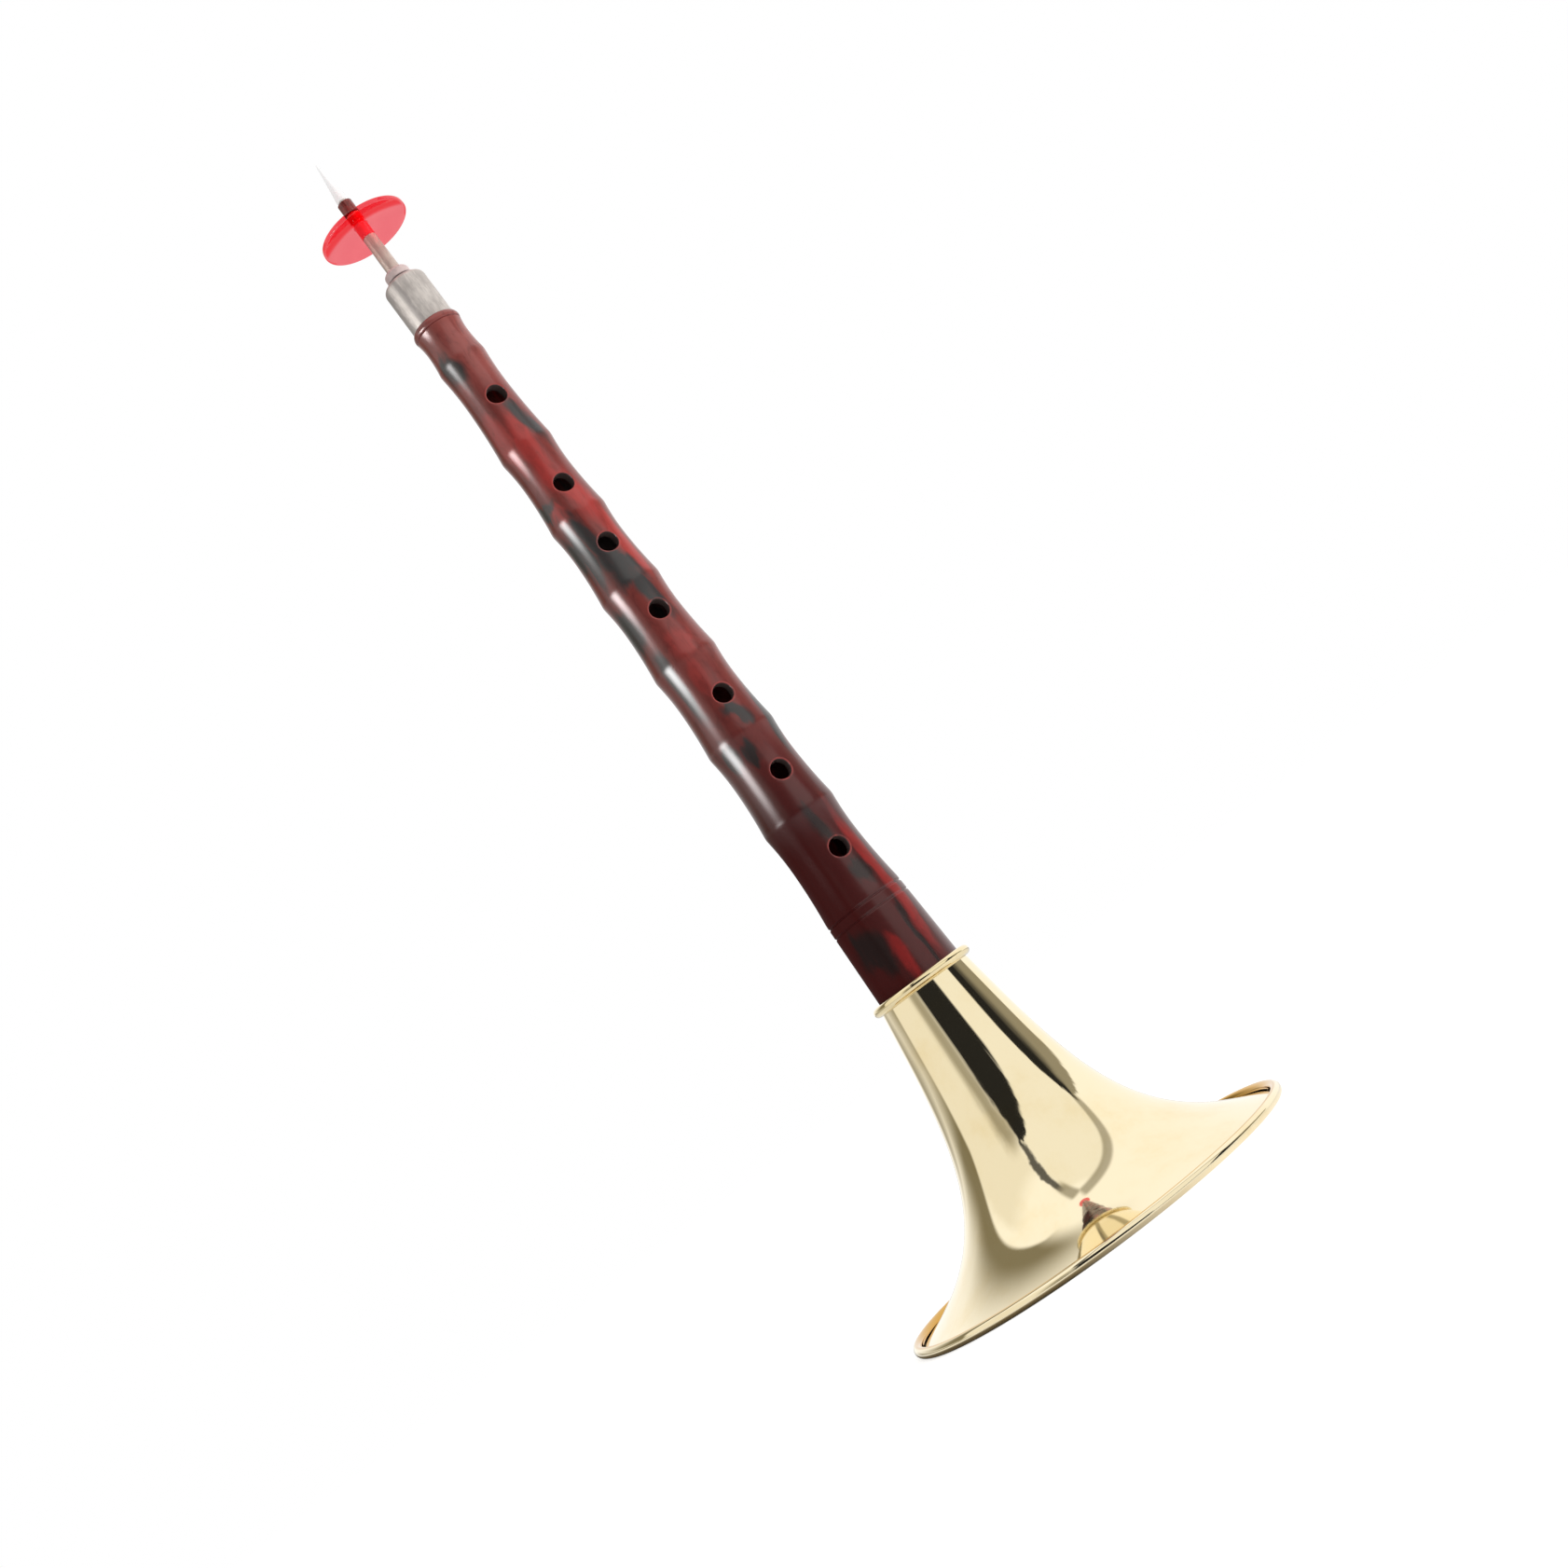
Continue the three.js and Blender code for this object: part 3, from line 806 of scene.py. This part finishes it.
def outside_levels(top):
    """Heights of the rows on the pipe's outside, close together at the grooves."""
    row_step, groove_step, groove_reach = 0.5, 0.1, 8
    first = SHOULDER + 0.25
    grooves = [height for height, *_ in GROOVES]
    levels = [first + row_step * i for i in range(int((top - SHOULDER - 0.4) / row_step))]
    levels = [h for h in levels if all(abs(h - g) > 1.0 for g in grooves)]
    levels += [g + groove_step * i for g in grooves for i in range(-groove_reach, groove_reach + 1)]
    levels = [h for h in levels if all(abs(h - edge) > 0.2 for edge in WINDOW_EDGES)] + WINDOW_EDGES
    return sorted([SHOULDER, *[h for h in levels if h < top - 0.1], top])


def add_outside(shell, z, r):
    """The pipe's outside, and from it each hole with an eased edge, down to the bore."""
    def outside(height):
        return np.interp(height, z, r)

    half_arcs = [HALF_WINDOW] * len(HOLES)
    loops = drilled(shell, outside_levels(z[-1]), outside, half_arcs, PIPE_SIDES, inward=False)
    for hole, loop in zip(HOLES, loops):
        start, spokes = loop_offsets(shell, hole, loop)
        brink = round_offsets(spokes, HOLE_RADIUS + HOLE_EASE)
        rings = [loop]
        for share in (0.35, 0.7, 1.0):
            rings.append(hole_ring(shell, hole, partway(start, brink, share), outside))
        for a in np.radians(np.linspace(15, 90, 6)):
            offsets = round_offsets(spokes, HOLE_RADIUS + HOLE_EASE * (1 - math.sin(a)))
            rings.append(hole_ring(shell, hole, offsets, outside, HOLE_EASE * (1 - math.cos(a))))
        rings.append(hole_ring(shell, hole, round_offsets(spokes, HOLE_RADIUS), bore_radius))
        shell.chain(rings)


def add_bore(shell):
    """The bore's wall, joined to the foot of each hole."""
    row_step, rows, last_row, sides = 1.2, 206, 310.8, 96
    widest, share_of_bore = 3.7, 0.93
    levels = [BORE_FOOT + row_step * i for i in range(rows)]
    levels = [h for h in levels if h < last_row and all(abs(h - edge) > 0.5 for edge in WINDOW_EDGES)]
    levels = sorted(levels + WINDOW_EDGES + [BORE_TOP])
    half_arcs = [min(widest, share_of_bore * float(bore_radius(height))) for height, _ in HOLES]
    loops = drilled(shell, levels, bore_radius, half_arcs, sides, inward=True)
    for hole, loop in zip(HOLES, loops):
        _, spokes = loop_offsets(shell, hole, loop)
        ring = hole_ring(shell, hole, round_offsets(spokes, HOLE_RADIUS), bore_radius)
        shell.join(loop, ring, inward=True)


def add_tenon(shell):
    """The lower tenon, with a recess for the thread, from the bore out to the shoulder."""
    tenon, recess = 12.25, 11.3
    recess_foot, recess_top = 66.9, 77.5
    foot = [
        (BORE_FOOT_RADIUS, BORE_FOOT), (tenon, BORE_FOOT, 0.3), (tenon, recess_foot, 0.1),
        (recess, recess_foot, 0.1), (recess, recess_top, 0.1), (tenon, recess_top, 0.1),
        (tenon, SHOULDER, 0.1), (SHOULDER_RADIUS, SHOULDER),
    ]
    shell.turn(eased(foot, closed=False), PIPE_SIDES, closed=False)


def add_head(shell, start):
    """The collar's round top, the upper tenon and the socket in it."""
    top = heights("body_pipe")[1]
    land, tenon = 6.6, 6.0
    angles = np.radians(np.linspace(0, 90, 9))
    across = COLLAR_RADIUS - land
    collar = [(land + across * math.cos(a), start + COLLAR_RISE * math.sin(a)) for a in angles]
    socket = [
        (land, PIPE_END), (tenon, PIPE_END, 0.05), (tenon, top, 1.1), (SOCKET_RADIUS, top, 0.1),
        (SOCKET_RADIUS, BORE_TOP, 0.05), (BORE_TOP_RADIUS, BORE_TOP),
    ]
    shell.turn(collar + eased(socket, closed=False)[1:], PIPE_SIDES, closed=False)


def make_pipe():
    """The resin pipe in one shell, from the outside in."""
    z, r = pipe_profile()
    shell = Shell()
    add_outside(shell, z, r)
    add_bore(shell)
    add_tenon(shell)
    add_head(shell, z[-1])
    shell.piece("resin_pipe", marbled_resin(), "pipe", "marbled_resin", "body_pipe", crease=50)


def make_lapping():
    """Thread wound in even turns over a plain first layer."""
    low, high = heights("tenon_lapping")
    outer = radius_of("tenon_lapping")
    bed, thick = 11.35, 0.5
    around, section = 72, 8
    core = outer - thick * 0.6
    shell = Shell()
    shell.turn([(bed, low), (core, low), (core, high), (bed, high)], 96)
    turns = int((high - low) / thick)
    pitch = (high - low - thick) / (turns - 1)
    rows = []
    for i in range((turns - 1) * around + 1):
        angle = math.tau * i / around
        climb = low + thick / 2 + pitch * i / around
        ring = []
        for k in range(section):
            s = math.tau * k / section
            radius = outer - thick / 2 + thick / 2 * math.cos(s)
            z = climb + thick / 2 * math.sin(s)
            ring.append((radius * math.cos(angle), radius * math.sin(angle), z))
        rows.append(shell.row(ring))
    shell.chain(rows, inward=True)
    shell.piece("thread_winding", waxed_thread(), "pipe", "lapping_thread", "tenon_lapping", crease=70)


def make_ferrule():
    """A thin cap with a rounded crown and a hole that the bush goes through."""
    low, top = heights("ferrule")
    outer = radius_of("ferrule")
    wall, crown = 0.55, 1.8
    edge = (outer - crown, top - crown)
    skirt = eased([(outer - wall, low, 0.1), (outer, low, 0.2), (outer, edge[1])], closed=False)[:-1]
    mouth = [(SOCKET_RADIUS, top, 0.15), (SOCKET_RADIUS, top - wall, 0.1)]
    lid = eased([(edge[0] - 0.1, top), *mouth, (edge[0] - 0.05, top - wall)], closed=False)
    shell = Shell()
    shell.turn(skirt + arc(edge, crown, 0, 90, 14) + lid + arc(edge, crown - wall, 90, 0, 8), 144)
    metal = drawn_metal("ferrule_metal", "dad2cb", "b5ada7", 0.12, 0.55, metallic=0.25, painted_reflection_strength=0.6)
    shell.piece("ferrule_cap", metal, "pipe", "ferrule_metal", "ferrule")


# Staple, disc and reed


def make_staple():
    """A tapering tube with a journal for the disc and a spigot for the reed."""
    low, tip = heights("staple")
    foot_bore, bore, journal, spigot = 2.1, 1.4, 1.75, 1.35
    spigot_bore, spigot_foot = 1.0, tip - 5.2
    outline = [
        (foot_bore, low, 0.1), (STAPLE_FOOT_RADIUS, low, 0.1), (STAPLE_SEAT_RADIUS, STAPLE_SEAT, 0.06),
        (journal, STAPLE_SEAT, 0.03), (journal, spigot_foot, 0.06), (spigot, spigot_foot, 0.05),
        (spigot, tip, 0.1), (spigot_bore, tip, 0.08), (spigot_bore, spigot_foot - 0.35),
        (bore, STAPLE_SEAT),
    ]
    shell = Shell()
    shell.turn(eased(outline, steps=4), 72)
    metal = drawn_metal("staple_metal", "d3c3b8", "b8a69b", 0.05, 0.45, metallic=0.45, painted_reflection_strength=0.3)
    shell.piece("staple_tube", metal, "staple", "staple_metal", "staple")


def make_bush():
    """A plug with a round shouldered collar."""
    low, top = heights("staple_bush")
    collar = radius_of("staple_bush")
    shank, play = 3.2, 0.05
    taper = (STAPLE_FOOT_RADIUS - STAPLE_SEAT_RADIUS) / (STAPLE_SEAT - STAPLE_FOOT)

    def bore(z):
        return STAPLE_FOOT_RADIUS - taper * (z - STAPLE_FOOT) + play

    outline = [
        (bore(low), low, 0.1), (shank, low, 0.3), (shank, BUSH_SEAT, 0.05), (collar, BUSH_SEAT, 0.15),
        (collar - 0.05, top - 0.9, 0.6), (collar - 0.9, top - 0.2, 0.5), (bore(top), top, 0.1),
    ]
    shell = Shell()
    shell.turn(eased(outline), 96)
    shell.piece("bush_plug", moulded_plastic(), "staple", "bush_plastic", "staple_bush")


def cap_height(r, top, foot, reach):
    """Height at radius r of a round cap that falls from top to foot at its reach."""
    drop = top - foot
    sphere = (reach**2 + drop**2) / (2 * drop)
    return top - sphere + math.sqrt(sphere**2 - r * r)


def make_disc():
    """A shallow dome with a rounded rim on a short tube."""
    low, high = heights("lip_disc")
    outer = radius_of("lip_disc")
    bore, hub, fillet, dome = 1.82, 2.12, 2.9, 3.1
    crown, rim_top = 349.0, 346.75
    ceiling, rim_foot = 348.0, 345.35
    lip = outer - 0.4

    def upper(r):
        return cap_height(r, crown, rim_top, outer - 0.5)

    def lower(r):
        return cap_height(r, ceiling, rim_foot, lip)

    tube = [(bore, high, 0.06), (bore, low, 0.1), (hub, low, 0.12)]
    tube = eased([*tube, (hub, lower(hub), 0.2), (fillet, lower(fillet))], closed=False)
    under = [(float(r), lower(r)) for r in np.linspace(dome, lip, 48)]
    rim = arc((outer - 0.35, rim_foot + 0.35), 0.35, -90, 0, 6)
    rim += arc((outer - 0.45, rim_top - 0.4), 0.45, 0, 65, 6)
    over = [(float(r), upper(r)) for r in np.linspace(outer - 0.7, dome, 40)]
    top = [(fillet, upper(fillet)), (hub, upper(hub), 0.2), (hub, high, 0.12), (bore, high)]
    shell = Shell()
    shell.turn(tube + under + rim + over + eased(top, closed=False)[:-1], 192)
    shell.piece("disc_dome", clear_red(), "lip_disc", "disc_red", "lip_disc", crease=60)


def make_sleeve():
    """A tube that grips the spigot at its foot and holds the reed above."""
    low, high = heights("reed_sleeve")
    grip, outside, inside = 1.4, 2.27, 1.87
    shelf = low + 0.9
    outline = [
        (grip, low, 0.05), (outside, low, 0.12), (outside, high, 0.14), (inside, high, 0.08),
        (inside, shelf), (grip, shelf),
    ]
    shell = Shell()
    shell.turn(eased(outline), 96)
    shell.piece("sleeve_tube", dark_sleeve(), "reed", "sleeve_dark", "reed_sleeve")


def reed_ring(z, foot, tip, inside):
    """Points round the reed at a height: a circle up to foot, a flat oval at tip."""
    sides, turned = 72, math.radians(67.5)
    tube, half_width, half_thick = 1.82, 3.6, 0.42
    foot_wall, tip_wall = 0.33, 0.22
    blade = max(0.0, (z - foot) / (tip - foot))
    ease = blade * blade * (3 - 2 * blade) * 0.15 + blade * 0.85
    wall = (foot_wall + (tip_wall - foot_wall) * blade) if inside else 0.0
    width = tube + (half_width - tube) * blade - wall
    thick = tube + (half_thick - tube) * ease - wall
    points = []
    for k in range(sides):
        a = math.tau * k / sides
        u, v = width * math.cos(a), thick * math.sin(a)
        x = u * math.cos(turned) - v * math.sin(turned)
        y = u * math.sin(turned) + v * math.cos(turned)
        points.append((x, y, z))
    return points


def make_reed():
    """A hollow blade with a round foot that flattens into two thin lips."""
    low, high = heights("reed")
    foot = low + 4.4
    levels = [low, low + 2, *np.linspace(foot, high - 0.05, 30)]
    shell = Shell()
    outer = [shell.row(reed_ring(z, foot, high, False)) for z in levels]
    pairs = zip(reed_ring(high, foot, high, False), reed_ring(high, foot, high, True))
    lip = shell.row([((p[0] + q[0]) / 2, (p[1] + q[1]) / 2, high) for p, q in pairs])
    inner = [shell.row(reed_ring(z, foot, high, True)) for z in levels[::-1]]
    shell.chain([*outer, lip, *inner, outer[0]])
    shell.piece("reed_blade", pale_reed(), "reed", "reed_white", "reed", crease=70)


# Studio that glossy surfaces reflect


class Studio(Graph):
    """The world's nodes, with masks that are 1 inside an area and 0 outside it.

    Areas are given in degrees: bearings from the finger holes' side, positive towards +X, and
    heights above the horizon.
    """

    def __init__(self, tree):
        super().__init__(tree)
        self.way = self.node("TexCoord").outputs["Generated"]
        ragged = self.noise(self.way, 9.0, detail=4, roughness=0.6)
        self.wander = self.line(ragged, 0.3, 0.7, -2.5, 2.5)
        bearing = turn_of(self, self.way)
        self.around = self.plus(bearing, self.wander)
        past_back = self.times(self.math("GREATER_THAN", bearing, 60.0), 360.0)
        self.leftward = self.minus(bearing, past_back)
        self.up = self.times(self.math("ARCSINE", self.parts(self.way)[2]), DEGREES)

    def between(self, left, right, soft):
        """Bearings from left to right, with ragged edges."""
        start = self.minus(self.around, left)
        end = self.minus(right, self.around)
        return self.times(self.ramp(start, -soft, soft), self.ramp(end, -soft, soft))

    def within(self, low, high, soft):
        """Heights from low to high."""
        start = self.ramp(self.up, low - soft, low + soft)
        return self.times(start, self.ramp(self.up, high + soft, high - soft))

    def meridian(self, bearing, half_width):
        """A band of even width from the horizon to the zenith."""
        a = math.radians(bearing)
        aside = self.measure("DOT_PRODUCT", self.way, (math.cos(a), math.sin(a), 0))
        ahead = self.measure("DOT_PRODUCT", self.way, (math.sin(a), -math.cos(a), 0))
        band = self.ramp(self.math("ABSOLUTE", aside), half_width * 1.5, half_width * 0.6)
        return self.times(band, self.ramp(ahead, 0.0, 0.05))


def front_panel(s):
    """The tall black panel in front, its right side cut back as it rises, with a torn step."""
    torn = s.plus(s.up, s.times(s.wander, 0.7))
    left = s.line(s.up, 38, 56, -46, -57)
    right = s.plus(s.line(s.up, 18, 39, 0, -29), s.ramp(torn, 39, 41, 0, -14))
    return s.times(s.between(left, right, 2), s.within(-8, 77, 4), s.ramp(s.up, 40, 44, 1.0, 0.9))


def wedge_panel(s):
    """The wedge on the right: its black left part and its olive whole."""
    left = s.line(s.up, 12, 32, 42, 58)
    right = s.line(s.up, 10, 29, 97, 63)
    across = s.math("DIVIDE", s.minus(s.around, left), s.minus(right, left))
    area = s.between(left, right, 1.5)
    black = s.times(area, s.within(4, 31, 3), s.ramp(across, 0.3, 0.7, 1.0, 0.0))
    return black, s.times(area, s.within(4, 33, 2), 0.84)


def left_panel(s):
    """The olive panel that goes from the left round to the back."""
    end = s.line(s.up, 20, 66, -122, -160)
    cut = s.ramp(s.minus(end, s.leftward), -2, 4)
    far_side = s.minus(s.leftward, s.line(s.up, 24, 60, 0, -32))
    return s.times(s.ramp(far_side, -190, -140), cut, s.within(9, 68, 7), 0.93)


def studio_colour(s):
    """Pale walls with olive and black panels on them."""
    wedge, wedge_olive = wedge_panel(s)
    beside_front = s.times(s.between(-66, -44, 9), s.within(-8, 40, 6), 0.7)
    right_band = s.times(s.meridian(59.5, 0.055), s.ramp(s.up, 24, 34), 0.66)
    top_band = s.times(s.meridian(-46, 0.05), s.ramp(s.up, 70, 78), 0.7)
    low_back = s.times(s.ramp(s.leftward, -186, -168), s.ramp(s.leftward, -110, -126))
    low_back = s.times(low_back, s.ramp(s.up, 12, 4), 0.75)
    olive = s.most(beside_front, wedge_olive, right_band, top_band, left_panel(s), low_back)
    low_band = s.times(s.between(-60, 58, 8), s.ramp(s.up, 9, 3), 0.8)
    black = s.most(front_panel(s), wedge, low_band)
    ahead = s.times(s.between(-44, 58, 6), s.ramp(s.up, 84, 78))
    beside = s.times(s.between(-132, -52, 8), s.ramp(s.up, 64, 50))
    wall = s.mix(ahead, (1.06, 1.06, 1.06, 1), (0.95, 0.94, 0.9, 1))
    wall = s.mix(beside, wall, (0.9, 0.88, 0.82, 1))
    studio = s.mix(olive, wall, (0.17, 0.145, 0.075, 1))
    return s.mix(black, studio, (0.02, 0.02, 0.02, 1))


def make_world():
    """White to the eye, plain to matte surfaces, and a studio with dark panels to glossy ones."""
    world = bpy.data.worlds.new("studio")
    bpy.context.scene.world = world
    world.use_nodes = True
    s = Studio(world.node_tree)
    ray = s.node("LightPath").outputs

    def background(shade, strength):
        return s.node("Background", {"Color": shade, "Strength": strength}).outputs[0]

    soft_light = background(WHITE, 0.57)
    lit = s.mix_shaders(ray["Is Glossy Ray"], soft_light, background(studio_colour(s), 1.0))
    seen = s.most(ray["Is Camera Ray"], ray["Is Transmission Ray"])
    s.node("OutputWorld", {"Surface": s.mix_shaders(seen, lit, background(WHITE, 1.0))})


# Floor, lamps and camera


def floor_paint():
    """White to the eye where no shadow falls; to glossy surfaces dim, and shaded under the rim."""
    made = bpy.data.materials.new("floor_paint")
    made.use_nodes = True
    g = Graph(made.node_tree)
    ray = g.node("LightPath").outputs
    place = object_place(g)
    away = from_axis(g, place)
    near = g.ramp(away, 66, 60.5)
    shade = g.mix(g.times(ray["Is Glossy Ray"], near), (0.8, 0.8, 0.8, 1), (0.2, 0.16, 0.1, 1))
    paint = g.node("BsdfDiffuse", {"Color": shade}).outputs[0]

    open_floor = g.ramp(away, 68, 1200, 0.25, 0.06)
    darkest = -75.0
    aside = g.math("ABSOLUTE", g.minus(turn_of(g, place), darkest))
    by_rim = g.ramp(aside, 36, 90, 0.02, 0.85)
    mirrored = g.plus(open_floor, g.times(near, g.minus(by_rim, open_floor)))
    mirrored = g.times(ray["Is Glossy Ray"], mirrored)
    direct = g.times(g.most(ray["Is Camera Ray"], ray["Is Transmission Ray"]), 0.62)
    glow = g.node("Emission", {"Color": WHITE, "Strength": g.most(direct, mirrored)}).outputs[0]
    total = g.node("AddShader", {0: paint, 1: glow}).outputs[0]
    g.node("OutputMaterial", {"Surface": total})
    return made


def make_floor():
    """A pale floor under the bell, which goes with the bell when that is drawn off."""
    reach = 6000
    shell = Shell()
    corners = [(-reach, -reach, 0), (reach, -reach, 0), (reach, reach, 0), (-reach, reach, 0)]
    shell.face(shell.row(corners))
    mesh = shell.mesh("floor")
    mesh.materials.append(floor_paint())
    floor = add("floor", mesh)
    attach(floor, "bell")


def at_bearing(distance, bearing, height):
    """A place by its distance from the axis, its bearing in degrees and its height."""
    a = math.radians(bearing)
    return Vector((distance * math.sin(a), -distance * math.cos(a), height))


def area_lamp(name, width, height, place, aim, radiance, gain=1.0):
    """A rectangular lamp that points at aim and that the camera doesn't see."""
    light = bpy.data.lights.new(name, "AREA")
    light.shape = "RECTANGLE"
    light.size, light.size_y = width, height
    light.energy = radiance * math.pi * light.size * light.size_y / gain
    lamp = add(name, light)
    lamp.location = place
    lamp.rotation_mode = "QUATERNION"
    lamp.rotation_quaternion = (aim - place).to_track_quat("-Z", "Y")
    lamp.visible_camera = False
    return lamp


def make_lamp():
    """One tall soft box on the right of the finger holes."""
    place = at_bearing(1.15, 50, 0.6)
    lamp = area_lamp("soft_box", 0.6, 0.9, place, aim=Vector((0, 0, 0.2)), radiance=5.6)
    lamp.visible_glossy = False


def make_strip():
    """A narrow strip lamp on the left, which draws the long highlight of the pipe's waists."""
    foot, top = 0.150, 0.345
    middle = (foot + top) / 2
    half_spread = math.radians(21)
    gain = math.tan(half_spread) / (math.tan(half_spread) - half_spread)
    place = at_bearing(0.15, -81, middle)
    lamp = area_lamp("strip", 0.08, top - foot, place, Vector((0, 0, middle)), radiance=29.0, gain=gain)
    lamp.data.spread = 2 * half_spread
    lamp.visible_diffuse = False
    lamp.visible_transmission = False


def make_camera():
    """A camera low beside the bell that looks up along the pipe, turned so that the reed is top left."""
    # Three directions of the part as the camera sees them: right, down and away
    along = Vector((0.59085, 0.79561, -0.13381))
    depth = Vector((0.07687, 0.10959, 0.99100))
    across = Vector((0.80311, -0.59582, 0.00359))
    facing = math.radians(22.5)
    far = Vector((math.sin(facing), math.cos(facing), 0))
    side = Vector((math.cos(facing), -math.sin(facing), 0))

    def to_world(v):
        return v.dot(along) * Vector((0, 0, -1)) + v.dot(depth) * far + v.dot(across) * side

    columns = [to_world(Vector(v)) for v in ((1, 0, 0), (0, -1, 0), (0, 0, -1))]
    turned = Matrix(columns).transposed().to_4x4()
    place = (-0.2138, -0.5161, 0.0689)
    data = bpy.data.cameras.new("camera")
    data.sensor_width = 36
    data.lens = 47.09
    data.clip_start, data.clip_end = 0.01, 50
    camera = add("camera", data)
    camera.matrix_world = Matrix.Translation(place) @ turned
    bpy.context.scene.camera = camera


make_bell()
make_rim_wire()
make_throat_ring()
make_pipe()
make_lapping()
make_ferrule()
make_staple()
make_bush()
make_disc()
make_sleeve()
make_reed()
make_world()
make_floor()
make_lamp()
make_strip()
make_camera()

scene = bpy.context.scene
scene.view_settings.view_transform = "Standard"
